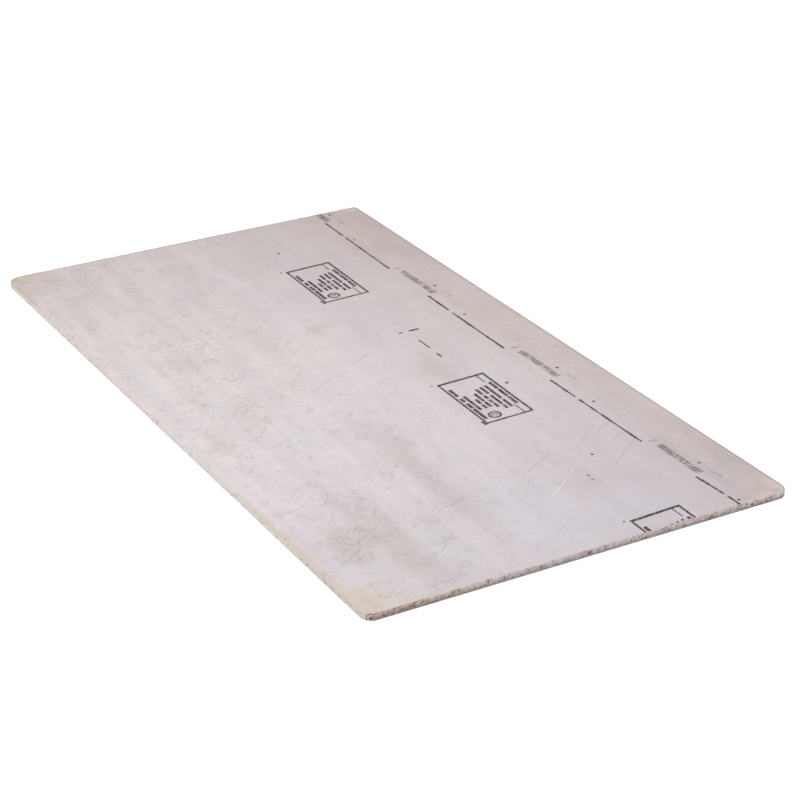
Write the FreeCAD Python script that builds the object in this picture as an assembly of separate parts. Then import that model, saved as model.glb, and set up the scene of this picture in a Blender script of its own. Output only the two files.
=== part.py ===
"""Cement backer board: one sheet of cement and light aggregate, faced with a fine glass mesh.

The sheet is cast in a continuous ribbon and sawn to length, so its two long edges are formed
and rounded, with the mesh wrapped round them, and its two short ends are raw sawn faces.
It is one piece. Handling has worn each of its four corners round, each by its own amount.

Frame: the origin is the middle of the underside, +X across the width, +Y along the length,
+Z up through the thickness, with the printed face on top. All sizes are in millimetres.
"""
import FreeCAD, Part
import math
import os

# Overall size: a 32 inch by 60 inch sheet, half an inch thick.
WIDTH = 812.8
LENGTH = 1524.0
THICKNESS = 12.7

# Rounding of the two long formed edges, top and bottom, where the mesh wraps round.
FORMED_EDGE_RADIUS = 3.0

# Slight rounding that handling leaves on the sharp arrises of the two sawn ends.
SAWN_ARRIS_RADIUS = 0.8

# Wear of the four corners, seen from above: near is the -Y end, left is the -X edge.
NEAR_LEFT_CORNER_RADIUS = 20.0
NEAR_RIGHT_CORNER_RADIUS = 24.0
FAR_RIGHT_CORNER_RADIUS = 12.0
FAR_LEFT_CORNER_RADIUS = 28.0

PARTS_FOLDER = "parts"


def rounded_outline(low, high, radii, to_space):
    """A closed rectangle with a round at each corner, as a face.

    low and high are the rectangle's opposite corners in a plane. radii are the rounds at
    (low, low), (high, low), (high, high) and (low, high), in that order, counter-clockwise.
    to_space turns a point (u, v) of the plane into a point in space.
    """
    corners = [(low[0], low[1]), (high[0], low[1]), (high[0], high[1]), (low[0], high[1])]
    centre_sides = [(1, 1), (-1, 1), (-1, -1), (1, -1)]
    arcs = []
    for index, (corner, side, radius) in enumerate(zip(corners, centre_sides, radii)):
        centre = (corner[0] + side[0] * radius, corner[1] + side[1] * radius)
        first_angle = math.pi + index * math.pi / 2
        angles = [first_angle + step * math.pi / 4 for step in range(3)]
        points = [(centre[0] + radius * math.cos(a), centre[1] + radius * math.sin(a)) for a in angles]
        arcs.append([to_space(*point) for point in points])
    edges = []
    for index, arc in enumerate(arcs):
        following = arcs[(index + 1) % len(arcs)]
        edges.append(Part.Arc(*arc).toShape())
        edges.append(Part.LineSegment(arc[-1], following[0]).toShape())
    return Part.Face(Part.Wire(edges))


def formed_ribbon():
    """The cast ribbon: its cross-section in X and Z, rounded at both long edges."""
    section = rounded_outline(
        (-WIDTH / 2, 0.0), (WIDTH / 2, THICKNESS), [FORMED_EDGE_RADIUS] * 4,
        lambda x, z: FreeCAD.Vector(x, -LENGTH / 2, z))
    return section.extrude(FreeCAD.Vector(0, LENGTH, 0))


def worn_plan():
    """The sheet's plan with its four worn corners, as a prism of the full thickness."""
    corner_radii = [NEAR_LEFT_CORNER_RADIUS, NEAR_RIGHT_CORNER_RADIUS,
                    FAR_RIGHT_CORNER_RADIUS, FAR_LEFT_CORNER_RADIUS]
    plan = rounded_outline(
        (-WIDTH / 2, -LENGTH / 2), (WIDTH / 2, LENGTH / 2), corner_radii,
        lambda x, y: FreeCAD.Vector(x, y, 0.0))
    return plan.extrude(FreeCAD.Vector(0, 0, THICKNESS))


def sawn_ends():
    """The long section in Y and Z, with the slight rounds along both sawn ends."""
    section = rounded_outline(
        (-LENGTH / 2, 0.0), (LENGTH / 2, THICKNESS), [SAWN_ARRIS_RADIUS] * 4,
        lambda y, z: FreeCAD.Vector(-WIDTH / 2, y, z))
    return section.extrude(FreeCAD.Vector(WIDTH, 0, 0))


def cement_board():
    """The board is what the ribbon, its worn plan and its sawn ends all hold in common."""
    return formed_ribbon().common(worn_plan()).common(sawn_ends()).Solids[0]


def main():
    os.makedirs(PARTS_FOLDER, exist_ok=True)
    board = cement_board()
    board.exportStep(os.path.join(PARTS_FOLDER, "cement_board.step"))
    box = board.BoundBox
    print(f"cement_board: valid {board.isValid()}, {len(board.Faces)} faces, volume {board.Volume:.1f} mm3")
    print(f"box {box.XLength:.3f} x {box.YLength:.3f} x {box.ZLength:.3f} mm, lowest z {box.ZMin:.4f}")


main()
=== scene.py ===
# %% [markdown]
# # A sheet of cement backer board
#
# The board is one sheet, 812.8 by 1524 by 12.7 mm, cast from cement and light aggregate with a
# fine glass mesh at each face. Its two long edges are formed: the mesh wraps round them, so they
# are smooth and rounded. Its two short ends are sawn, so they show the raw porous core. The face
# is a pale mauve grey with lengthwise streaks, stains, creases in the mesh and dark roller ink.
#
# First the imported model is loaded. It gives the sizes that everything below is worked out from.

import math

import bmesh
import bpy
import numpy as np
from mathutils import Matrix, Vector


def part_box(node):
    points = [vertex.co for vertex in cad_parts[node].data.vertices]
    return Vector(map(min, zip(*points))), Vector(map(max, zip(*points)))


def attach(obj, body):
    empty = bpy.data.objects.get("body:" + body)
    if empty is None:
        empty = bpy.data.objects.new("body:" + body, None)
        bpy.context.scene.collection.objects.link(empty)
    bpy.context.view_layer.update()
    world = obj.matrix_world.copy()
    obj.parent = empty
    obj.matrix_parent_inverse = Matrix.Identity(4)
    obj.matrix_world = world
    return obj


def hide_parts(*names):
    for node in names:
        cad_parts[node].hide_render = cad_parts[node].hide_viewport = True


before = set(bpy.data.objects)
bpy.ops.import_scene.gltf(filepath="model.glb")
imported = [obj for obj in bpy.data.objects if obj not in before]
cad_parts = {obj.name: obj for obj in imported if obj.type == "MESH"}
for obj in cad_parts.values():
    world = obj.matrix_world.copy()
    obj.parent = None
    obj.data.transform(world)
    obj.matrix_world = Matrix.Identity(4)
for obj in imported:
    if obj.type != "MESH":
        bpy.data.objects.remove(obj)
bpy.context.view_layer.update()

board_low, board_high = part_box("cement_board")
HALF_WIDTH = (board_high[0] - board_low[0]) / 2
HALF_LENGTH = (board_high[1] - board_low[1]) / 2
THICKNESS = board_high[2] - board_low[2]
MM = 0.001
print(f"board {2 * HALF_WIDTH / MM:.1f} x {2 * HALF_LENGTH / MM:.1f} x {THICKNESS / MM:.1f} mm")

# %% [markdown]
# ## A random field for worn concrete
#
# Broken cement is irregular at every scale. Value noise gives that: each corner of a lattice gets
# a fixed random number, and the numbers are blended smoothly in between. A hash of the corner's
# whole-number place makes the random number, so the result is the same on every run.

# %% Random field
def lattice_value(cells):
    """A number from 0 to 1 for each row of three whole numbers, scrambled by multiply and xor."""
    mixed = cells[:, 0] * 73856093 ^ cells[:, 1] * 19349663 ^ cells[:, 2] * 83492791
    mixed = (mixed * 2654435761) & 0xFFFFFFFF
    mixed ^= mixed >> 15
    mixed = (mixed * 2246822519) & 0xFFFFFFFF
    mixed ^= mixed >> 13
    return mixed / 0xFFFFFFFF


def speckle(points, cell, seed=0):
    """Value noise from 0 to 1: the eight lattice values round each point, weighted smoothly."""
    place = points / np.asarray(cell) + 31.7 * (seed + 1)
    base = np.floor(place).astype(np.int64)
    part = place - base
    part = part * part * (3 - 2 * part)
    total = np.zeros(len(points))
    for corner in np.ndindex(2, 2, 2):
        weight = np.prod(np.where(corner, part, 1 - part), axis=1)
        total += weight * lattice_value(base + np.array(corner))
    return total


def rise(values, low, high):
    """0 below low, 1 above high, and a smooth S between."""
    t = np.clip((values - low) / (high - low), 0, 1)
    return t * t * (3 - 2 * t)


print("speckle of the origin:", round(float(speckle(np.zeros((1, 3)), 1.0)[0]), 3))

# %% [markdown]
# ## The outline of the board
#
# The mesh is a set of closed rings. Every ring has a column for each point of the outline, so the
# outline comes first: a rectangle walked anticlockwise, with each corner pulled in to its own
# worn round. The columns are close together, because the sawn ends are rough at that scale.
#
# A rectangle with rounds could be made with a bevel, but then the rough edges would have no
# regular grid to be worked on. Columns and rings give one.

# %% Outline with worn corners
END_COLUMNS = 448
LONG_COLUMNS = 704

# Worn corner rounds, by the signs of X and Y: near is -Y and left is -X.
CORNER_ROUNDS = {(-1, -1): 20 * MM, (1, -1): 24 * MM, (1, 1): 12 * MM, (-1, 1): 28 * MM}


def walk_rectangle():
    """Points and side normals anticlockwise from the near left corner, evenly spaced on each side."""
    near_left = (-HALF_WIDTH, -HALF_LENGTH)
    near_right = (HALF_WIDTH, -HALF_LENGTH)
    far_right = (HALF_WIDTH, HALF_LENGTH)
    far_left = (-HALF_WIDTH, HALF_LENGTH)
    sides = [(near_left, near_right, (0, -1), END_COLUMNS), (near_right, far_right, (1, 0), LONG_COLUMNS),
             (far_right, far_left, (0, 1), END_COLUMNS), (far_left, near_left, (-1, 0), LONG_COLUMNS)]
    points, normals = [], []
    for start, end, normal, count in sides:
        share = np.arange(count)[:, None] / count
        points.append(np.array(start) * (1 - share) + np.array(end) * share)
        normals.append(np.tile(normal, (count, 1)).astype(float))
    return np.vstack(points), np.vstack(normals)


def round_corners(points, normals):
    """Pulls the points within a corner's round onto its arc.

    A point as far from the corner as the round's radius stays, and one at the corner goes to the
    middle of the arc, 45 degrees round. The direction out of the arc is the outward normal.
    """
    signs = np.where(points >= 0, 1, -1)
    radius = np.array([CORNER_ROUNDS[tuple(sign)] for sign in signs.tolist()])
    corner = signs * [HALF_WIDTH, HALF_LENGTH]
    away = np.abs(points - corner).sum(axis=1)
    turn = np.radians(45) * np.clip(1 - away / radius, 0, 1)
    sideways = signs * (normals == 0)
    outward = np.cos(turn)[:, None] * normals + np.sin(turn)[:, None] * sideways
    on_arc = corner - signs * radius[:, None] + radius[:, None] * outward
    return np.where((away < radius)[:, None], on_arc, points), outward


sharp_outline, side_normals = walk_rectangle()
outline, outward = round_corners(sharp_outline, side_normals)
print(f"{len(outline)} columns, box {np.ptp(outline, axis=0) / MM} mm")

# %% [markdown]
# ## Rings from the underside, up the wall and over the top
#
# A ring is the outline moved inwards to a new height. In a section through the edge, the rings
# go: flat underside, lower arris, wall, upper arris, flat top. The arris is a quarter circle. On
# the formed edges its radius is 3 mm; on the sawn ends it is sharp, and crumbled here and there.
#
# Far from the edge nothing is rough, so there every second column is dropped, and then every
# second one again. The rings shrink onto a line along the middle of the board, the spine.

# %% Ring helpers
FORMED_ARRIS = 3.0 * MM
SAWN_ARRIS = 0.8 * MM
ARRIS_STEPS = 4
WALL_STEPS = 6

spine = np.column_stack([
    np.zeros(len(outline)),
    np.clip(sharp_outline[:, 1], HALF_WIDTH - HALF_LENGTH, HALF_LENGTH - HALF_WIDTH)])

# 1 on a sawn end and 0 on a formed edge. It changes over within the worn corners.
sawn_share = rise(np.abs(outward[:, 1]), 0.45, 0.9)


def inset_ring(distance, height, keep_every=1):
    """A flat ring: each outline point moved towards its point on the spine, by distance / half width."""
    share = distance / HALF_WIDTH
    plan = (outline * (1 - share) + spine * share)[::keep_every]
    return np.column_stack([plan, np.full(len(plan), height)])


def edge_ring(arris, angle, height):
    """A ring on the quarter circle of an arris: angle is 0 on the wall and 90 degrees on the flat."""
    inwards = arris * (1 - np.cos(angle))
    plan = outline - outward * inwards[:, None]
    return np.column_stack([plan, height])


# %% [markdown]
# ## Crumbled ends, pitted edges
#
# The roughness is worked on the rings at the edge, always inwards, so the board keeps its size.
# The saw leaves a grainy wall with pores where bubbles and beads of aggregate were cut or pulled
# out, and the upper arris has broken away in places. The formed edges are almost smooth, with a
# slow wobble and small pits where the slurry missed the mesh.

# %% Roughness of the edge
def stretched(points, along):
    """The points with Y shortened, so that a field read there is drawn out along the board."""
    return points * [1, 1 / along, 1]


def sawn_depth(points, on_wall, on_arris):
    """How deep a sawn end lies below its ideal face: grain, pores on the wall, chips on the arris."""
    grain = 0.30 * MM * speckle(points, 2.2 * MM, 1) + 0.45 * MM * speckle(points, 7 * MM, 2)
    pores = 1.7 * MM * rise(speckle(points, 3.6 * MM, 3), 0.70, 0.88)
    crumbly = 0.45 + 0.55 * rise(np.abs(points[:, 0]) / HALF_WIDTH, 0.45, 0.95)
    chips = 1.8 * MM * crumbly * rise(speckle(points, (11 * MM, 11 * MM, 30 * MM), 4), 0.58, 0.85)
    return grain * np.maximum(on_wall, 0.8 * on_arris) + pores * on_wall + chips * on_arris


def formed_depth(points, on_wall, on_arris):
    """How deep a formed edge lies below its ideal face: a slow wobble and drawn-out pits."""
    wobble = 0.25 * MM * speckle(points, 45 * MM, 5) + 0.12 * MM * speckle(points, 9 * MM, 6)
    pits = 1.1 * MM * rise(speckle(stretched(points, 2.2), 3.4 * MM, 7), 0.76, 0.9)
    return (wobble + pits) * np.maximum(on_wall, on_arris)


def roughen(points, angle, on_wall, on_arris):
    """Moves edge points inwards along the surface normal and returns them with their depth."""
    depth = (sawn_share * sawn_depth(points, on_wall, on_arris)
             + (1 - sawn_share) * formed_depth(points, on_wall, on_arris))
    normal = np.column_stack([outward * np.cos(angle), np.full(len(points), np.sin(angle))])
    return points - normal * depth[:, None], depth


# %% [markdown]
# Each ring also carries two numbers for the finish: how much raw sawn core it shows, and how deep
# it is pitted. The finish reads them as attributes, because they follow the surface.

# %% Build the rings
UNDER_INSETS = [350, 270, 200, 140, 95, 60, 35]
TOP_INSETS = [22, 29, 37, 46] + list(range(57, 396, 13))

rings, sawn_values, depth_values = [], [], []


def add_ring(points, sawn, depth):
    """Keeps a ring and its two finish numbers."""
    rings.append(points)
    sawn_values.append(np.broadcast_to(sawn, len(points)).astype(float))
    depth_values.append(np.broadcast_to(depth, len(points)).astype(float))


def add_flat(distance_mm, height, keep_every):
    """A flat ring well inside the edge, with no raw core and no pits."""
    add_ring(inset_ring(distance_mm * MM, height, keep_every), 0, 0)


def add_edge(points, angle, on_wall, on_arris, rawness):
    """A rough ring at the edge."""
    rough, depth = roughen(points, angle, on_wall, on_arris)
    add_ring(rough, rawness * sawn_share, depth)


add_flat(HALF_WIDTH / MM, 0.0, 8)
for distance in UNDER_INSETS:
    add_flat(distance, 0.0, 8)
add_flat(20, 0.0, 4)
add_flat(11, 0.0, 2)
add_flat(6, 0.0, 1)

arris = FORMED_ARRIS * (1 - sawn_share) + SAWN_ARRIS * sawn_share
for step in range(ARRIS_STEPS):
    angle = math.radians(90) * (1 - step / ARRIS_STEPS)
    height = arris * (1 - math.sin(angle))
    add_edge(edge_ring(arris, angle, height), -angle, math.cos(angle), 0.0, math.cos(angle))

# The upper arris is worn more than the lower: up to 3 mm on the sawn ends.
wear_line = speckle(np.column_stack([outline, np.zeros(len(outline))]), 9 * MM, 8)
worn = 0.5 + 0.5 * rise(np.abs(outline[:, 0]) / HALF_WIDTH, 0.45, 0.95)
upper_arris = arris + 2.2 * MM * worn * sawn_share * rise(wear_line, 0.35, 0.95)
for step in range(WALL_STEPS + 1):
    share = step / WALL_STEPS
    height = arris * (1 - share) + (THICKNESS - upper_arris) * share
    near_top = max(0.0, 2 * share - 1)
    add_edge(edge_ring(arris, 0.0, height), 0.0, 1.0 - 0.4 * near_top, near_top, 1.0)

for step in range(1, ARRIS_STEPS + 1):
    angle = math.radians(90) * step / ARRIS_STEPS
    height = THICKNESS - upper_arris * (1 - math.sin(angle))
    turned_in = step / ARRIS_STEPS
    add_edge(edge_ring(upper_arris, angle, height), angle, math.cos(angle) * 0.6, 1 - 0.75 * turned_in,
             1 - 0.5 * turned_in)

for distance, crumble in [(4.5, 0.12), (6.5, 0.04)]:
    flat = np.column_stack([outline - outward * distance * MM, np.full(len(outline), THICKNESS)])
    add_edge(flat, math.radians(90), 0.0, crumble, crumble)
add_flat(9, THICKNESS, 1)
add_flat(15, THICKNESS, 2)
for distance in TOP_INSETS:
    add_flat(distance, THICKNESS, 4)
add_flat(HALF_WIDTH / MM, THICKNESS, 4)
print(f"{len(rings)} rings, {sum(len(ring) for ring in rings)} points")

# %% [markdown]
# ## Sewing the rings together
#
# Two neighbouring rings with as many columns are joined by four-sided faces. Where one has twice
# as many, each face takes one side of the coarse ring and two of the fine one, so it has five
# corners and the surface has no gap. The order of the corners makes every face look outwards.

# %% Sew the rings into one closed surface
def sew(lower_start, lower_count, upper_start, upper_count):
    """Faces between two rings: along the lower one, then back along the upper one."""
    count = min(lower_count, upper_count)
    first = np.arange(count)
    after = (first + 1) % count
    if lower_count == upper_count:
        columns = [lower_start + first, lower_start + after, upper_start + after, upper_start + first]
    elif lower_count > upper_count:
        last = (2 * first + 2) % lower_count
        columns = [lower_start + 2 * first, lower_start + 2 * first + 1, lower_start + last,
                   upper_start + after, upper_start + first]
    else:
        last = (2 * first + 2) % upper_count
        columns = [lower_start + first, lower_start + after, upper_start + last,
                   upper_start + 2 * first + 1, upper_start + 2 * first]
    return np.column_stack(columns).tolist()


def ring_surface(name, rings, numbers):
    """One closed mesh from the rings, with the points that meet on the spine merged."""
    starts = np.concatenate([[0], np.cumsum([len(ring) for ring in rings])])
    faces = []
    for index in range(len(rings) - 1):
        faces += sew(starts[index], len(rings[index]), starts[index + 1], len(rings[index + 1]))
    mesh = bpy.data.meshes.new(name)
    mesh.from_pydata(np.vstack(rings), [], faces)
    for label, values in numbers.items():
        mesh.attributes.new(label, "FLOAT", "POINT").data.foreach_set("value", np.concatenate(values))
    work = bmesh.new()
    work.from_mesh(mesh)
    bmesh.ops.remove_doubles(work, verts=work.verts, dist=0.01 * MM)
    open_edges = sum(1 for edge in work.edges if not edge.is_manifold)
    work.to_mesh(mesh)
    work.free()
    mesh.shade_smooth()
    board = bpy.data.objects.new(name, mesh)
    bpy.context.scene.collection.objects.link(board)
    triangles = sum(len(polygon.vertices) - 2 for polygon in mesh.polygons)
    print(f"{name}: {triangles} triangles, {open_edges} open edges")
    return board


# %% [markdown]
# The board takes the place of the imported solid. It rides on the body `root`, the only one, and its
# finish fills the slot `cement`.

# %% Make the board
board = ring_surface("board", rings, {"sawn": sawn_values, "pitted": depth_values})
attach(board, "root")
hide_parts("cement_board")

# %% [markdown]
# ## A bench for mixing finishes
#
# A finish is a tree of nodes. Written out in full, each node takes many lines, so this small
# bench gives the common ones short names. Each call adds a node and returns its output, and any
# input may be a number, a colour or another node's output.

# %% Node bench
def display(red, green, blue):
    """A colour as the eye reads it, from 0 to 255 in each part, made linear for the shader."""
    linear = [((part / 255 + 0.055) / 1.055) ** 2.4 for part in (red, green, blue)]
    return (*linear, 1.0)


class Bench:
    """Adds nodes to a tree and wires them up."""

    def __init__(self, tree):
        self.tree = tree

    def node(self, kind, inputs=None, output=0, **settings):
        made = self.tree.nodes.new(kind)
        for name, value in settings.items():
            setattr(made, name, value)
        for key, value in (inputs or {}).items():
            if isinstance(value, bpy.types.NodeSocket):
                self.tree.links.new(value, made.inputs[key])
            else:
                made.inputs[key].default_value = value
        return made.outputs[output] if made.outputs else made

    def math(self, operation, *values):
        return self.node("ShaderNodeMath", dict(enumerate(values)), operation=operation)

    def vector(self, operation, *values, output=0):
        return self.node("ShaderNodeVectorMath", dict(enumerate(values)), output, operation=operation)

    def split(self, vector):
        made = self.node("ShaderNodeSeparateXYZ", {0: vector}).node
        return made.outputs[0], made.outputs[1], made.outputs[2]

    def join(self, x, y, z=0.0):
        return self.node("ShaderNodeCombineXYZ", {0: x, 1: y, 2: z})

    def ease(self, value, low, high, to_low=0.0, to_high=1.0):
        """Smooth change from to_low to to_high as value goes from low to high."""
        inputs = {0: value, 1: low, 2: high, 3: to_low, 4: to_high}
        return self.node("ShaderNodeMapRange", inputs, interpolation_type="SMOOTHSTEP")

    def noise(self, place, size, detail=2.0, stretch=(1, 1, 1), output=0):
        """Noise whose features are about size across, drawn out by stretch."""
        scale = tuple(1 / (size * part) for part in stretch)
        return self.node("ShaderNodeTexNoise", {
            "Vector": self.vector("MULTIPLY", place, scale), "Scale": 1.0, "Detail": detail}, output)

    def blend(self, share, first, second):
        """The first colour where share is 0 and the second where it is 1."""
        return self.node("ShaderNodeMix", {0: share, 6: first, 7: second}, 2, data_type="RGBA")

    def ramp(self, value, stops):
        """A grey level or colour that changes along value, through (place, colour) stops."""
        made = self.node("ShaderNodeValToRGB", {0: value}).node
        elements = made.color_ramp.elements
        for place, colour in stops[1:-1]:
            elements.new(place).color = colour
        elements[0].position, elements[0].color = stops[0]
        elements[-1].position, elements[-1].color = stops[-1]
        return made.outputs[0]


print("bench ready")

# %% [markdown]
# ## Ink
#
# The marks come off two rollers. One turns once every 453 mm and leaves a dashed cutting line
# with a row of small ticks beside it; the other leaves a framed block of bars about every two feet.
# Flat ink needs no geometry. A mark is a distance compared with a size: to the middle of a bar, to
# the centre of a dot, or to the nearest point of a stroke. So the marks stay sharp from nearby and
# need no image. These helpers turn each kind of distance into a mask of 0 and 1 with a soft side.
#
# All places are in millimetres on the sheet: across from the left edge, down from the far end.

# %% Ink bench
def between(bench, value, start, end, soft):
    """1 from start to end, fading over soft at each side."""
    middle, half = (start + end) / 2, (end - start) / 2
    away = bench.math("ABSOLUTE", bench.math("SUBTRACT", value, middle))
    return bench.ease(away, half - soft / 2, half + soft / 2, 1.0, 0.0)


def strongest(bench, masks):
    """The greatest of several masks. Each is taken in as soon as it is made, so few are ever held."""
    result = 0.0
    for mask in masks:
        result = bench.math("MAXIMUM", mask, result)
    return result


def spans(bench, value, parts, longest, soft=1.2):
    """1 inside any of the (start, end) parts, as one hard-stepped ramp along value up to longest."""
    black, white = (0, 0, 0, 1), (1, 1, 1, 1)
    stops = []
    for start, end in parts:
        stops += [((start - soft / 2) / longest, black), ((start + soft / 2) / longest, white),
                  ((end - soft / 2) / longest, white), ((end + soft / 2) / longest, black)]
    return bench.ramp(bench.math("DIVIDE", value, longest), stops)


def spot(bench, place, across, down, radius, soft=1.2):
    """A round dot."""
    away = bench.vector("DISTANCE", place, (across, down, 0), output=1)
    return bench.ease(away, radius - soft / 2, radius + soft / 2, 1.0, 0.0)


def stroke(bench, place, start, end, width, soft=0.9):
    """A straight stroke with round ends: the distance to the nearest point between start and end."""
    run = (end[0] - start[0], end[1] - start[1], 0)
    length_squared = run[0] ** 2 + run[1] ** 2
    from_start = bench.vector("SUBTRACT", place, (*start, 0))
    share = bench.vector("DOT_PRODUCT", from_start, tuple(part / length_squared for part in run), output=1)
    share = bench.math("MINIMUM", bench.math("MAXIMUM", share, 0.0), 1.0)
    nearest = bench.node("ShaderNodeVectorMath", {0: run, "Scale": share}, operation="SCALE")
    away = bench.vector("DISTANCE", from_start, nearest, output=1)
    return bench.ease(away, width / 2 * (1 - soft), width / 2 * (1 + soft), 1.0, 0.0)


print("ink helpers: between, strongest, spans, spot, stroke")

# %% [markdown]
# ### The dashed line and its ticks
#
# The first roller repeats, so the place along the sheet is taken modulo its turn, and one turn of
# marks does for the whole length. The line isn't quite straight: the sheet wandered under the
# roller, which a parabola gives, and it slipped near the end. The ticks are plain slanting bars
# with smudged ink.

# %% Dashed line, ticks and dots
DASH_PERIOD = 453.0
DASH_ACROSS = 697.5
DASH_WIDTH = 4.2
DASHES = [(57, 140), (152, 348)]
TICK_ROWS = [(0, 50), (352, 357), (374, 453)]
TICK_PITCH = 6.4
ROLLER_DOTS = [(738, 18, 3.2), (716, 172, 3.0)]
HOOK = ((737, 56), (741, 80), 1.7)


def roller_marks(bench, place):
    """The dashes, ticks, dots and hook that repeat with the first roller."""
    across, down, _ = bench.split(place)
    slip = bench.math("ADD", bench.ease(down, 1250, 1420, 0, 11), bench.ease(down, 1440, 1500, 0, 11))
    slipped = bench.math("ADD", down, slip)
    turned = bench.math("MODULO", slipped, DASH_PERIOD)
    on_roller = bench.join(across, turned)
    sway = bench.math("POWER", bench.math("DIVIDE", bench.math("SUBTRACT", down, 950), 285), 2)
    line_across = bench.math("SUBTRACT", across, bench.math("ADD", sway, bench.ease(down, 1330, 1500, 0, 6)))
    line_across = bench.math("MULTIPLY_ADD", bench.math("SUBTRACT", line_across, DASH_ACROSS),
                             bench.ease(bench.noise(place, 30, 1), 0.35, 0.65, 0.75, 1.25), DASH_ACROSS)
    on_line = between(bench, line_across, DASH_ACROSS - DASH_WIDTH / 2, DASH_ACROSS + DASH_WIDTH / 2, 1.4)
    dashes = bench.math("MULTIPLY", spans(bench, turned, DASHES, DASH_PERIOD), on_line)
    leaning = bench.math("MULTIPLY_ADD", across, 0.3, turned)
    rung = bench.math("ABSOLUTE", bench.math("SUBTRACT", bench.math("FRACT", bench.math(
        "DIVIDE", leaning, TICK_PITCH)), 0.5))
    ticks = bench.math("MULTIPLY", spans(bench, turned, TICK_ROWS, DASH_PERIOD, 3),
                       between(bench, across, 711, 725, 3))
    ticks = bench.math("MULTIPLY", ticks, bench.ease(rung, 0.20, 0.34, 1.0, 0.12))
    smudge = bench.ease(bench.noise(place, 16, 1), 0.36, 0.56, 0.50, 1.0)
    line = strongest(bench, [dashes, bench.math("MULTIPLY", ticks, smudge),
                             bench.math("MULTIPLY", stroke(bench, on_roller, *HOOK), 0.7)])
    dots = strongest(bench, (spot(bench, on_roller, *dot) for dot in ROLLER_DOTS))
    return bench.math("MAXIMUM", line, dots)


print(f"dashes every {DASH_PERIOD:.0f} mm, {DASH_WIDTH} mm wide")

# %% [markdown]
# ### The framed block
#
# The second roller leaves a frame with columns of short bars, a thin divider and a ring, at three
# places that drift a little to the side. Below each next place the block's corner moves on to it,
# so one block is drawn and it shows up three times, the last one cut by the saw.

# %% Framed block of bars
STAMP_DOWN = [252, 872, 1472]
STAMP_ACROSS = [508, 504, 517]
STAMP_SIZE = (103, 186)
STAMP_SQUEEZE = 1.02
STAMP_SLANT = 0.05
STAMP_LEAN = 0.016
STAMP_RING = (32, 161, 13.5)
STAMP_CORNER_DOT = (-9, -2, 2.2)
STAMP_COLUMNS = [
    (10.5, 3.6, [(30, 63), (72, 89), (96, 118), (121, 168)]),
    (20.5, 3.2, [(67, 109), (111, 132)]),
    (33, 3.2, [(90, 111), (115, 132)]),
    (43, 3.2, [(69, 105), (108, 131)]),
    (54.5, 3.2, [(55, 80), (85, 101), (105, 117), (120, 138)]),
    (66, 3.2, [(52, 83), (90, 132), (135, 151)]),
    (77, 3.2, [(50, 111), (116, 150)]),
    (91.5, 3.5, [(42, 73), (76, 109), (112, 144)])]
STAMP_DIVIDER = (84.7, 1.3, [(4, 38), (144, 183)])


def stamp_marks(bench, place):
    """The framed block of plain bars with a plain ring, one for each place on the sheet."""
    across, down, _ = bench.split(place)
    first_down, first_across = STAMP_DOWN[0], STAMP_ACROSS[0]
    for index in (1, 2):
        limit = STAMP_DOWN[index] - 25
        passed = bench.math("GREATER_THAN", down, limit)
        first_down = bench.math("ADD", first_down, bench.math(
            "MULTIPLY", passed, STAMP_DOWN[index] - STAMP_DOWN[index - 1]))
        first_across = bench.math("ADD", first_across, bench.math(
            "MULTIPLY", passed, STAMP_ACROSS[index] - STAMP_ACROSS[index - 1]))
    x = bench.math("SUBTRACT", across, first_across)
    y = bench.math("MULTIPLY", bench.math("SUBTRACT", down, first_down), STAMP_SQUEEZE)
    wide, tall = STAMP_SIZE
    slanted = bench.math("SUBTRACT", bench.math("MULTIPLY_ADD", x, STAMP_SLANT, y), STAMP_SLANT * wide)
    x = bench.math("MULTIPLY_ADD", y, STAMP_LEAN, x)
    y = slanted
    inside_x = between(bench, x, 0, wide, 1.2)
    inside_y = between(bench, y, 0, tall, 1.2)
    sides = strongest(bench, [between(bench, x, 0, 4.4, 1.2), between(bench, x, wide - 5.0, wide, 1.2)])
    ends = strongest(bench, [between(bench, y, 0, 7.0, 1.2), between(bench, y, tall - 5.4, tall, 1.2)])
    edge = bench.math("MAXIMUM", bench.math("MULTIPLY", sides, inside_y),
                      bench.math("MULTIPLY", ends, inside_x))
    local = bench.join(x, y)
    ring_across, ring_down, ring_radius = STAMP_RING
    away = bench.vector("DISTANCE", local, (ring_across, ring_down, 0), output=1)
    filling = bench.math("MULTIPLY", bench.ease(away, 8, 9.5, 0.75, 0.0),
                         bench.ease(bench.noise(local, 5, 1), 0.42, 0.56))
    ring = bench.math("MAXIMUM", filling, between(bench, away, ring_radius - 4.2, ring_radius, 1.2))
    outline_marks = strongest(bench, [edge, ring, stroke(bench, local, (-3.5, 174), (-2.0, 186), 5.0, 0.3),
                                      spot(bench, local, *STAMP_CORNER_DOT)])
    bars = strongest(bench, (
        bench.math("MULTIPLY", spans(bench, y, parts, 200),
                   between(bench, x, middle - half, middle + half, 1.4))
        for middle, half, parts in STAMP_COLUMNS + [STAMP_DIVIDER]))
    return bench.math("MAXIMUM", outline_marks, bars)


print(f"{len(STAMP_DOWN)} blocks of {len(STAMP_COLUMNS)} columns, {STAMP_SIZE} mm")

# %% [markdown]
# ### All the ink together
#
# A few loose dots and bars lie between the rollers' marks. Roller ink is uneven, so the place that
# everything is read at is shaken a little by a fine noise, which frays the sides, and a second
# noise thins the ink in patches.

# %% All the ink
LOOSE_DOTS = [
    (542, 160, 3.2), (622, 932, 3.7), (597, 1250, 3.0), (548, 1312, 2.6), (546, 1328, 2.2)]
LOOSE_BARS = [
    (592, 640, 11, 3), (563, 640, 4, 2.4), (577, 708, 1.7, 21), (576, 764, 2.2, 9),
    (572, 1522, 2.9, 1.8), (583, 1520, 2.9, 2.0), (594, 1518, 2.9, 2.2)]


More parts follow.
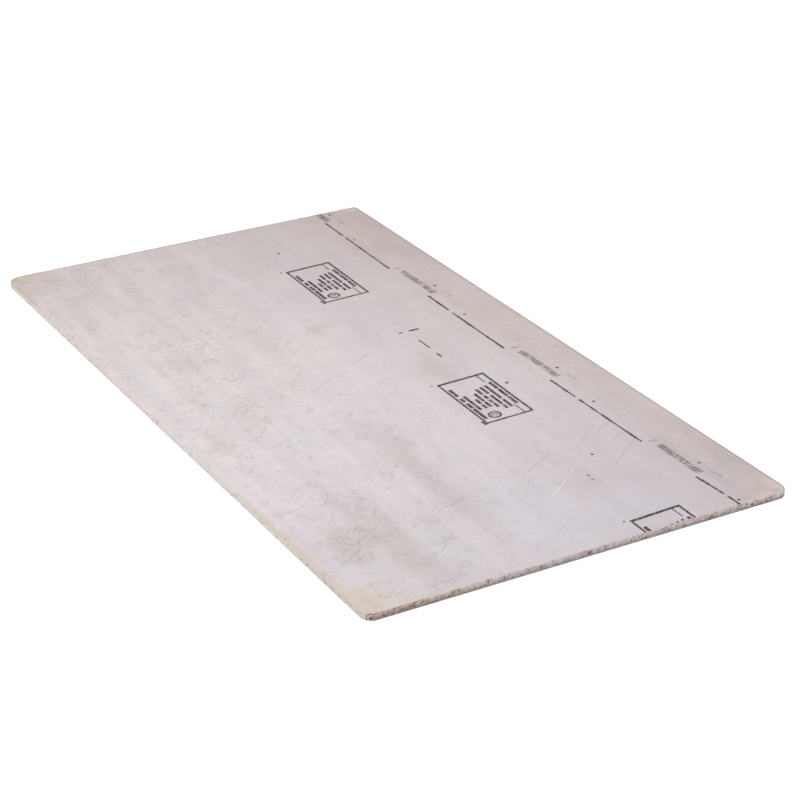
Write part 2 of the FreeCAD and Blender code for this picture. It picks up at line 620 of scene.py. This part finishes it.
def ink(bench, place):
    """How much ink lies at a place: all marks, read at a shaken place and broken by noise."""
    shake = bench.vector("SUBTRACT", bench.noise(place, 3.0, 1, output=1), (0.5, 0.5, 0.5))
    shaken = bench.vector("MULTIPLY_ADD", shake, (1.5, 1.5, 0), place)
    across, down, _ = bench.split(shaken)
    bars = strongest(bench, (
        bench.math("MULTIPLY", between(bench, across, a - half_a, a + half_a, 1.4),
                   between(bench, down, d - half_d, d + half_d, 1.4))
        for a, d, half_a, half_d in LOOSE_BARS))
    dots = strongest(bench, (spot(bench, shaken, *dot) for dot in LOOSE_DOTS))
    rolled = bench.math("MAXIMUM", roller_marks(bench, shaken), stamp_marks(bench, shaken))
    marks = bench.math("MAXIMUM", rolled, bench.math("MAXIMUM", bars, dots))
    wear = bench.ease(bench.noise(place, 5, 3), 0.34, 0.54, 0.66, 1.0)
    return bench.math("MULTIPLY", marks, wear)


print(f"{len(LOOSE_DOTS)} loose dots and {len(LOOSE_BARS)} loose bars")

# %% [markdown]
# ## Creases in the mesh
#
# The glass mesh was rolled into the wet face, and where it folded it left creases: short strokes,
# most of them slanting up to the right, many more on the left half. The clear ones are drawn one
# by one; the rest come from a stretched noise whose middle value makes thin winding lines. The dark
# strokes and lines are dented into the bump, and they darken the colour as painted shade along the creases.

# %% Creases
CREASE_SLANT = math.radians(34)
CREASES = [((455, 1342), (502, 1311), 2.4), ((502, 1311), (546, 1274), 2.2)]
SHADED_CREASES = [
    ((564, 62), (566, 130), 1.6), ((566, 130), (565, 210), 1.4), ((146, 24), (164, 46), 3.2),
    ((164, 46), (190, 45), 3.0), ((190, 45), (216, 20), 2.8), ((618, 1297), (655, 1266), 1.6),
    ((655, 1266), (697, 1236), 1.8), ((650, 1228), (692, 1208), 1.6), ((605, 1203), (626, 1190), 1.4),
    ((655, 1182), (697, 1158), 1.2), ((710, 1163), (752, 1140), 1.2), ((470, 1247), (535, 1211), 1.4),
    ((530, 1167), (546, 1159), 2.6), ((440, 1288), (458, 1274), 2.0), ((320, 772), (351, 755), 2.6),
    ((351, 755), (398, 738), 2.0), ((418, 716), (462, 697), 2.8), ((335, 999), (346, 988), 2.4),
    ((346, 988), (362, 983), 2.4), ((268, 1291), (291, 1284), 3.0), ((291, 1284), (326, 1277), 2.4),
    ((213, 1402), (226, 1385), 2.2), ((226, 1385), (253, 1384), 2.2), ((20, 1172), (60, 1173), 2.2),
    ((60, 1173), (84, 1162), 1.8), ((110, 1182), (137, 1147), 1.6), ((97, 1234), (108, 1212), 1.8),
    ((100, 473), (148, 441), 2.0), ((148, 441), (169, 516), 2.2), ((100, 484), (136, 462), 1.8),
    ((170, 476), (210, 451), 2.0), ((210, 451), (220, 503), 2.2), ((426, 51), (451, 35), 2.8),
    ((451, 35), (462, 80), 3.0), ((640, 604), (664, 591), 2.2), ((664, 591), (682, 630), 2.0),
    ((430, 372), (455, 350), 2.2), ((98, 1326), (106, 1308), 4.6), ((110, 1314), (122, 1304), 3.4),
    ((112, 1326), (134, 1318), 3.0), ((104, 1334), (118, 1346), 3.0), ((92, 1322), (78, 1312), 3.0),
    ((94, 1334), (84, 1348), 3.4), ((96, 1306), (92, 1288), 2.4), ((116, 1296), (124, 1282), 2.4),
    ((72, 1330), (60, 1338), 2.6), ((80, 1358), (66, 1376), 2.4), ((104, 1352), (98, 1368), 2.4),
    ((126, 1338), (144, 1340), 2.2), ((76, 1296), (68, 1284), 2.2), ((132, 1300), (146, 1290), 2.2),
    ((40, 1372), (60, 1360), 2.2), ((60, 1360), (74, 1350), 1.8), ((130, 790), (172, 772), 2.0),
    ((172, 745), (186, 800), 2.0), ((300, 712), (320, 700), 3.4), ((118, 592), (134, 580), 2.4),
    ((196, 560), (202, 592), 2.2), ((344, 578), (362, 566), 3.0), ((130, 905), (158, 870), 2.0),
    ((484, 997), (498, 984), 2.4), ((404, 552), (428, 540), 3.0)]


def drawn_creases(bench, place, creases):
    """All creases of a list at once, each a stroke with soft sides."""
    return strongest(bench, (stroke(bench, place, start, end, width, 0.75) for start, end, width in creases))


def random_creases(bench, place):
    """Thin lines where a slanting noise passes its middle, kept only in patches; they are painted crease
    shade.
    """
    slanted = bench.node("ShaderNodeVectorRotate", {"Vector": place, "Angle": CREASE_SLANT},
                         rotation_type="Z_AXIS")
    lines = bench.math("ABSOLUTE", bench.math("SUBTRACT", bench.noise(slanted, 16, 2, (3.4, 0.9, 1)), 0.5))
    lines = bench.ease(lines, 0.0, 0.030, 0.8, 0.0)
    flecks = bench.ease(bench.noise(slanted, 5, 2, (3.2, 1, 1)), 0.60, 0.70)
    patches = bench.ease(bench.noise(place, 36, 2), 0.46, 0.62, 0.0, 0.9)
    across = bench.split(place)[0]
    left = bench.ease(across, 200, 620, 1.0, 0.2)
    creases = bench.math("MULTIPLY", bench.math("MAXIMUM", lines, flecks), patches)
    return bench.math("MULTIPLY", creases, left)


print(f"{len(CREASES)} pale and {len(SHADED_CREASES)} dark strokes drawn one by one")

# %% [markdown]
# ## Tone, streaks and stains
#
# The face isn't one grey. It was laid on a moving belt, so it runs in lengthwise streaks. Its tone
# also changes slowly along and across the sheet, lighter on the left and in the middle of its length,
# darker along the right and at the far end: partly the sheet's own tone and partly painted shade,
# the shading that a slight bow and the fall-off of the lamp give a real sheet, put into the colour.
# Two ramps give the slow change, noises drawn out along the sheet give the streaks, and soft ellipses
# give the stains where slurry or water stood: warm, cool, cream and a little ochre. A noise bends the
# place the ellipses are read at, so none of them looks round.

# %% Streaks and stains
# Tone along and across the sheet: partly its own, partly painted shade of a slightly bowed sheet under its
# lamp.
TONE_AND_SHADE_DOWN = [
    (0.0, (202, 192, 191)), (0.04, (205, 195, 194)), (0.16, (207, 198, 198)), (0.30, (212, 203, 203)),
    (0.42, (214, 205, 205)), (0.60, (215, 207, 208)), (0.76, (214, 206, 210)), (0.86, (210, 202, 205)),
    (0.94, (208, 200, 204)), (1.0, (208, 199, 202))]
TONE_AND_SHADE_ACROSS = [
    (0.0, (206, 206, 205)), (0.06, (206, 206, 205)), (0.22, (204, 204, 204)), (0.50, (203, 203, 204)),
    (0.66, (198, 197, 198)), (0.84, (197, 195, 195)), (0.90, (194, 190, 188)), (1.0, (191, 184, 182))]
TONE_MIDDLE = 202
WARM_STAINS = [
    (40, 50, 75, 95, 0.45), (715, 195, 55, 85, 0.40), (148, 1330, 42, 240, 0.42),
    (312, 1150, 40, 240, 0.34), (540, 815, 34, 90, 0.40), (100, 1310, 75, 70, 0.50),
    (440, 545, 45, 26, 0.28), (312, 560, 34, 150, 0.24), (330, 450, 22, 60, 0.2),
    (738, 1290, 34, 60, 0.34), (55, 895, 22, 54, 0.36), (150, 560, 60, 50, 0.26),
    (165, 790, 50, 60, 0.26), (128, 120, 30, 150, 0.22), (60, 230, 20, 120, 0.22),
    (548, 1330, 12, 70, 0.25), (740, 700, 40, 160, 0.22)]
COOL_STAINS = [
    (32, 1310, 14, 160, 0.32), (42, 620, 20, 200, 0.35), (405, 1400, 90, 170, 0.40),
    (560, 1440, 120, 90, 0.30), (110, 760, 14, 180, 0.25), (590, 900, 50, 80, 0.2),
    (230, 1440, 50, 80, 0.2)]
CREAM_STAINS = [
    (0, 1290, 15, 300, 0.85), (8, 1500, 62, 78, 0.75), (0, 20, 22, 34, 0.8),
    (808, 1504, 30, 46, 0.6), (770, 1522, 66, 8, 0.6), (764, 1462, 14, 10, 0.35),
    (790, 6, 42, 24, 0.55), (0, 742, 7, 26, 0.8), (60, 1524, 150, 12, 0.4),
    (0, 430, 10, 200, 0.3)]
OCHRE_STAINS = [
    (9, 14, 12, 16, 0.6), (20, 34, 6, 8, 0.4), (2, 110, 8, 90, 0.35),
    (790, 1516, 10, 6, 0.4), (764, 1500, 8, 4, 0.5), (700, 30, 40, 12, 0.15)]
STAINS = [(WARM_STAINS, (50, 130, 0), (191, 178, 172)), (COOL_STAINS, (30, 80, 0), (206, 207, 216)),
          (CREAM_STAINS, (18, 30, 0), (209, 196, 181)), (OCHRE_STAINS, (12, 20, 0), (186, 164, 132))]


def stains(bench, place, patches):
    """Soft ellipses (across, down, half width, half length, strength), the strongest at each place."""
    def stain(across, down, half_width, half_length, strength):
        away = bench.vector("SUBTRACT", place, (across, down, 0))
        scaled = bench.vector("MULTIPLY", away, (1 / half_width, 1 / half_length, 0))
        reach = bench.vector("LENGTH", scaled, output=1)
        return bench.ease(reach, 0.35, 1.25, strength, 0.0)

    return strongest(bench, (stain(*patch) for patch in patches))


def face_colour(bench, place):
    """The pale cement face: tone and painted shade along and across the sheet, lengthwise streaks, mottling,
    stains.
    """
    across, down, _ = bench.split(place)
    # Painted shade: these two ramps darken the far end and the right side, as the light falls on a bowed
    # sheet.
    along = bench.ramp(bench.math("DIVIDE", down, 2 * HALF_LENGTH / MM),
                       [(at, display(*tone)) for at, tone in TONE_AND_SHADE_DOWN])
    sideways = bench.ramp(bench.math("DIVIDE", across, 2 * HALF_WIDTH / MM),
                          [(at, display(*tone)) for at, tone in TONE_AND_SHADE_ACROSS])
    middle = display(TONE_MIDDLE, TONE_MIDDLE, TONE_MIDDLE)[:3]
    tone = bench.vector("MULTIPLY", along, bench.vector("DIVIDE", sideways, middle))
    drift = bench.vector("SUBTRACT", bench.noise(place, 60, 5, output=1), (0.5, 0.5, 0.5))
    for patches, bending, colour in STAINS:
        drifted = bench.vector("MULTIPLY_ADD", drift, bending, place)
        tone = bench.blend(stains(bench, drifted, patches), tone, display(*colour))
    streaks = bench.noise(place, 32, 1, (1, 13, 1))
    mottle = bench.noise(place, 12, 4)
    cloud = bench.noise(place, 70, 3, (1, 1.6, 1))
    change = bench.math("ADD", bench.ease(streaks, 0.3, 0.7, -0.034, 0.026),
                        bench.math("ADD", bench.ease(mottle, 0.3, 0.7, -0.034, 0.030),
                                   bench.ease(cloud, 0.3, 0.7, -0.035, 0.030)))
    lively = bench.math("MULTIPLY", bench.ease(across, 180, 620, 1.0, 0.6),
                        bench.ease(down, 1250, 1430, 1.0, 0.6))
    lively = bench.math("MAXIMUM", lively, bench.ease(across, 690, 740))
    change = bench.math("MULTIPLY", change, lively)
    tone = bench.vector("MULTIPLY", tone, bench.join(*[bench.math("ADD", 1.0, change)] * 3))
    tint = bench.vector("SUBTRACT", bench.noise(place, 38, 2, (1, 2.2, 1), output=1), (0.5, 0.5, 0.5))
    return bench.vector("MULTIPLY", tone, bench.vector("MULTIPLY_ADD", tint, (0.06, 0.03, 0.07), (1, 1, 1)))


print("stains:", sum(len(patches) for patches, _, _ in STAINS))

# %% [markdown]
# ## The raw core
#
# Where the saw went through, the paste shows with pale beads of light aggregate and dark pores. A
# ramp on a noise mixes three shades of paste, Voronoi cells make the beads, and a finer noise opens
# the pores; their dark colour is painted shade in the holes. The core is browner towards the left
# corner. Its foot is darker and its top lighter, painted shade and light up the wall.

# %% Core
def core_colour(bench, place):
    """Raw sawn core: grey-brown paste, pale beads of aggregate, pores darkened as painted shade, and painted
    shade darker at the foot, lighter at the top.
    """
    across, _, height = bench.split(place)
    paste = bench.ramp(bench.noise(place, 7, 4), [
        (0.30, display(172, 157, 152)), (0.50, display(194, 181, 179)), (0.66, display(208, 198, 197))])
    browner = bench.ease(bench.math("ADD", across, bench.ease(bench.noise(place, 40, 1), 0.3, 0.7, -60, 60)),
                         60, 260, 1.0, 0.0)
    paste = bench.blend(browner, paste, bench.vector("MULTIPLY", paste, (0.86, 0.77, 0.68)))
    # Painted shade and light: the paste is darker at the foot of the wall and lighter at its top.
    height_shade = bench.ease(height, 0.5, 11.5, 0.66, 1.22)
    paste = bench.vector("MULTIPLY", paste, bench.join(height_shade, height_shade, height_shade))
    beads = bench.node("ShaderNodeTexVoronoi", {"Vector": place, "Scale": 1 / 3.4}, 0)
    bead_share = bench.math("MULTIPLY", bench.ease(beads, 0.22, 0.36, 1.0, 0.0), bench.ease(
        bench.noise(place, 6, 1), 0.50, 0.60, 0.0, 0.7))
    paste = bench.blend(bead_share, paste, display(220, 211, 208))
    # Painted shade: pores are dark spots in the colour, standing for the shade in small holes.
    pores = bench.math("MULTIPLY", bench.ease(bench.noise(place, 4.6, 2), 0.32, 0.44, 0.8, 0.0),
                       bench.ease(browner, 0, 1, 0.35, 1.0))
    return bench.blend(pores, paste, display(92, 76, 68))


print("core ready")

# %% [markdown]
# ## The finish of the whole sheet
#
# One finish covers the sheet. The attribute `sawn` brings in the raw core, and `pitted` darkens what
# lies deep, as painted shade in the pits and chips. Ink shows only on top. The formed walls are
# paler, with a few brown scuffs, and their foot turns a pale bluish white, a painted reflection of
# the floor. Along the right and far edges the face ends in a thin darker line. At the near left
# corner a thread of the mesh has come loose and curls on the wall, round a dark hollow of painted
# shade. The mesh is a fine weave pressed into the face, so it is bump, with the creases and the
# grain; the dark creases also darken the colour as painted shade.

# %% Cement finish
LOOP_PLACE = (11.0, 1521.3, 5.4)
LOOP_RADIUS = 5.2


def cement_finish(name):
    """The finish of the board, with ink on its top face."""
    finish = bpy.data.materials.new(name)
    finish.use_nodes = True
    finish.node_tree.nodes.clear()
    bench = Bench(finish.node_tree)
    in_metres = bench.node("ShaderNodeTexCoord", output="Object")
    sheet = bench.vector("MULTIPLY_ADD", in_metres, (1 / MM, -1 / MM, 1 / MM),
                         (HALF_WIDTH / MM, HALF_LENGTH / MM, 0))
    across, down, height = bench.split(sheet)
    plan = bench.join(across, down)
    on_top = bench.math("GREATER_THAN", height, THICKNESS / MM - 2.0)
    wobble = bench.vector("SUBTRACT", bench.noise(sheet, 11, 3, output=1), (0.5, 0.5, 0.5))
    bent = bench.vector("MULTIPLY_ADD", wobble, (12, 12, 0), plan)

    colour = face_colour(bench, plan)
    pale = drawn_creases(bench, bent, CREASES)
    broken = bench.ease(bench.noise(plan, 6, 2), 0.36, 0.54, 0.35, 1.0)
    dark = bench.math("MULTIPLY", drawn_creases(bench, bent, SHADED_CREASES), broken)
    dark = bench.math("MAXIMUM", dark, random_creases(bench, plan))
    dark = bench.math("MULTIPLY", dark, on_top)
    colour = bench.blend(bench.math("MULTIPLY", pale, 0.75), colour, display(234, 228, 228))
    # Painted shade: the dark creases darken the colour along each crease.
    colour = bench.blend(bench.math("MULTIPLY", dark, 0.30), colour, display(150, 134, 128))
    specks = bench.ease(bench.noise(sheet, 3.2, 1), 0.23, 0.29, 0.35, 0.0)
    colour = bench.blend(specks, colour, display(150, 136, 130))
    marks = bench.math("MULTIPLY", ink(bench, plan), on_top)
    colour = bench.blend(bench.math("MULTIPLY", marks, 0.96), colour, display(52, 36, 41))

    rim = bench.math("MULTIPLY", between(bench, across, 806.0, 810.5, 2.0), on_top)
    far_rim = bench.math("MULTIPLY", between(bench, down, 1.5, 6.5, 2.0), bench.ease(
        bench.noise(plan, 12, 2), 0.38, 0.56, 0.0, 0.8))
    rim = bench.math("MAXIMUM", rim, bench.math("MULTIPLY", far_rim, on_top))
    colour = bench.blend(bench.math("MULTIPLY", rim, 0.5), colour, display(172, 160, 146))
    side = bench.ease(height, 9.0, 12.2, 1.0, 0.0)
    colour = bench.blend(bench.math("MULTIPLY", side, bench.ease(down, 1200, 1400, 0.85, 0.5)), colour,
                         display(238, 229, 226))
    scuffed = bench.ease(bench.noise(sheet, 6, 3, (1, 1.8, 1)), 0.58, 0.66, 0.0, 0.6)
    colour = bench.blend(bench.math("MULTIPLY", scuffed, side), colour, display(170, 146, 132))
    # Painted reflection: the foot of the walls turns pale bluish white, as if lit from the floor.
    colour = bench.blend(bench.ease(height, 1.0, 5.0, 0.5, 0.0), colour, display(216, 217, 220))
    sawn = bench.node("ShaderNodeAttribute", output="Fac", attribute_name="sawn")
    pitted = bench.node("ShaderNodeAttribute", output="Fac", attribute_name="pitted")
    ragged = bench.ease(bench.noise(sheet, 4, 2), 0.3, 0.7, -0.3, 0.3)
    raw = bench.ease(bench.math("ADD", sawn, ragged), 0.35, 0.65)
    colour = bench.blend(raw, colour, core_colour(bench, sheet))
    # Painted shade: pits and chips darken with their depth.
    colour = bench.blend(bench.ease(pitted, 0.7 * MM, 1.9 * MM, 0.0, 0.7), colour, display(96, 78, 66))

    from_loop = bench.vector("DISTANCE", sheet, LOOP_PLACE, output=1)
    # Painted shade: a dark disc inside the curled thread, where it stands off the wall.
    loop_shade = bench.ease(from_loop, LOOP_RADIUS, LOOP_RADIUS + 2.6, 0.5, 0.0)
    colour = bench.blend(loop_shade, colour, display(124, 104, 94))
    curl = bench.math("MULTIPLY", between(bench, from_loop, LOOP_RADIUS - 1.3, LOOP_RADIUS + 0.3, 0.6),
                      bench.ease(across, LOOP_PLACE[0] + 0.5, LOOP_PLACE[0] + 5.0, 1.0, 0.0))
    colour = bench.blend(curl, colour, display(236, 226, 220))

    weave = bench.math("MULTIPLY", bench.math("SINE", bench.math("MULTIPLY", across, math.pi)),
                       bench.math("SINE", bench.math("MULTIPLY", down, math.pi)))
    weave = bench.math("MULTIPLY", weave, 0.03)
    grain = bench.math("MULTIPLY", bench.noise(sheet, 2.2, 3), bench.ease(raw, 0, 1, 0.12, 0.6))
    swell = bench.math("MULTIPLY", bench.noise(sheet, 16, 3), 0.7)
    relief = bench.math("ADD", bench.math("ADD", weave, grain), bench.math("ADD", swell, bench.math(
        "MULTIPLY", bench.math("SUBTRACT", pale, dark), 0.55)))
    bump = bench.node("ShaderNodeBump", {"Strength": 1.0, "Distance": MM, "Height": relief})
    surface = bench.node("ShaderNodeBsdfPrincipled", {
        "Base Color": colour, "Roughness": bench.ease(marks, 0, 1, 0.92, 0.7), "Specular IOR Level": 0.25,
        "Normal": bump})
    bench.node("ShaderNodeOutputMaterial", {"Surface": surface})
    print(f"{name}: {len(finish.node_tree.nodes)} nodes")
    return finish


board.data.materials.append(cement_finish("cement"))

# %% [markdown]
# ## Floor
#
# The board lies on a plain white studio floor. To the camera the floor is mostly a glow of its own,
# so it reads as white without more light on the board, and a weak diffuse part keeps the soft
# shadow. To every other ray it is a plain pale floor that throws light back up at the walls.

# %% Floor
def white_floor(name):
    """A matt white that shows as white where nothing shades it: part emission, part diffuse."""
    finish = bpy.data.materials.new(name)
    finish.use_nodes = True
    finish.node_tree.nodes.clear()
    bench = Bench(finish.node_tree)
    diffuse = bench.node("ShaderNodeBsdfDiffuse", {"Color": (0.80, 0.80, 0.80, 1)})
    shaded = bench.node("ShaderNodeBsdfDiffuse", {"Color": (0.25, 0.25, 0.25, 1)})
    glow = bench.node("ShaderNodeEmission", {"Color": (1, 1, 1, 1), "Strength": 0.87})
    seen = bench.node("ShaderNodeAddShader", {0: shaded, 1: glow})
    camera_ray = bench.node("ShaderNodeLightPath", output="Is Camera Ray")
    surface = bench.node("ShaderNodeMixShader", {0: camera_ray, 1: diffuse, 2: seen})
    bench.node("ShaderNodeOutputMaterial", {"Surface": surface})
    return finish


FLOOR_REACH = 30.0
floor_mesh = bpy.data.meshes.new("floor")
corners = [(-FLOOR_REACH, -FLOOR_REACH, 0), (FLOOR_REACH, -FLOOR_REACH, 0),
           (FLOOR_REACH, FLOOR_REACH, 0), (-FLOOR_REACH, FLOOR_REACH, 0)]
floor_mesh.from_pydata(corners, [], [(0, 1, 2, 3)])
floor_mesh.materials.append(white_floor("white_floor"))
floor = bpy.data.objects.new("floor", floor_mesh)
bpy.context.scene.collection.objects.link(floor)
print(f"floor {2 * FLOOR_REACH:.0f} m across")

# %% [markdown]
# ## Light
#
# A broad lamp high on the left and a white surrounding give the top an even light, at a level where
# a colour looks as it is written. The near end faces away from that lamp, so it is darker, and a
# weak lamp in front keeps its grain readable.

# %% Light
AROUND_STRENGTH = 0.55


def aim(thing, target):
    """Turns a lamp or camera to look at a point, its top upwards."""
    thing.rotation_euler = (Vector(target) - thing.location).to_track_quat("-Z", "Y").to_euler()


def soft_lamp(name, location, size, power):
    """A square area lamp that faces the middle of the board."""
    data = bpy.data.lights.new(name, "AREA")
    data.size = size
    data.energy = power
    lamp = bpy.data.objects.new(name, data)
    bpy.context.scene.collection.objects.link(lamp)
    lamp.location = location
    aim(lamp, (0, 0, 0))
    return lamp


soft_lamp("main_lamp", (-1.8, 0.7, 4.1), 2.6, 104)
soft_lamp("front_lamp", (0.5, -4.0, 2.4), 2.0, 32)

world = bpy.data.worlds.new("around")
bpy.context.scene.world = world
world.use_nodes = True
world.node_tree.nodes.clear()
bench = Bench(world.node_tree)
camera_ray = bench.node("ShaderNodeLightPath", output="Is Camera Ray")
strength = bench.math("ADD", bench.math("MULTIPLY", camera_ray, 1 - AROUND_STRENGTH), AROUND_STRENGTH)
bench.node("ShaderNodeOutputWorld", {"Surface": bench.node("ShaderNodeBackground", {
    "Color": (1, 1, 1, 1), "Strength": strength})})
print("lamps:", [thing.name for thing in bpy.data.lights])

# %% [markdown]
# ## Camera
#
# A long lens from about four metres, turned 29 degrees from the length of the board and looking
# down by 26, as such a sheet is shown in a shop. Its place is worked out backwards from the point
# it looks at, so that point stays where it is in the view when the distance changes.

# %% Camera
CAMERA_AZIMUTH = math.radians(29.40)
CAMERA_TILT = math.radians(25.93)
CAMERA_ROLL = math.radians(-0.345)
CAMERA_DISTANCE = 4.113
CAMERA_LENS = 102.06
CAMERA_AIM = Vector((0.0095, -0.1349, THICKNESS))

forward = Vector((math.sin(CAMERA_AZIMUTH) * math.cos(CAMERA_TILT),
                  math.cos(CAMERA_AZIMUTH) * math.cos(CAMERA_TILT), -math.sin(CAMERA_TILT)))
camera_data = bpy.data.cameras.new("camera")
camera_data.lens = CAMERA_LENS
camera_data.sensor_width = 36
camera = bpy.data.objects.new("camera", camera_data)
bpy.context.scene.collection.objects.link(camera)
camera.location = CAMERA_AIM - forward * CAMERA_DISTANCE
looking = forward.to_track_quat("-Z", "Y").to_matrix()
camera.rotation_euler = (looking @ Matrix.Rotation(CAMERA_ROLL, 3, "Z")).to_euler()
bpy.context.scene.camera = camera
bpy.context.scene.view_settings.view_transform = "Standard"
print("camera at", [round(part, 3) for part in camera.location])
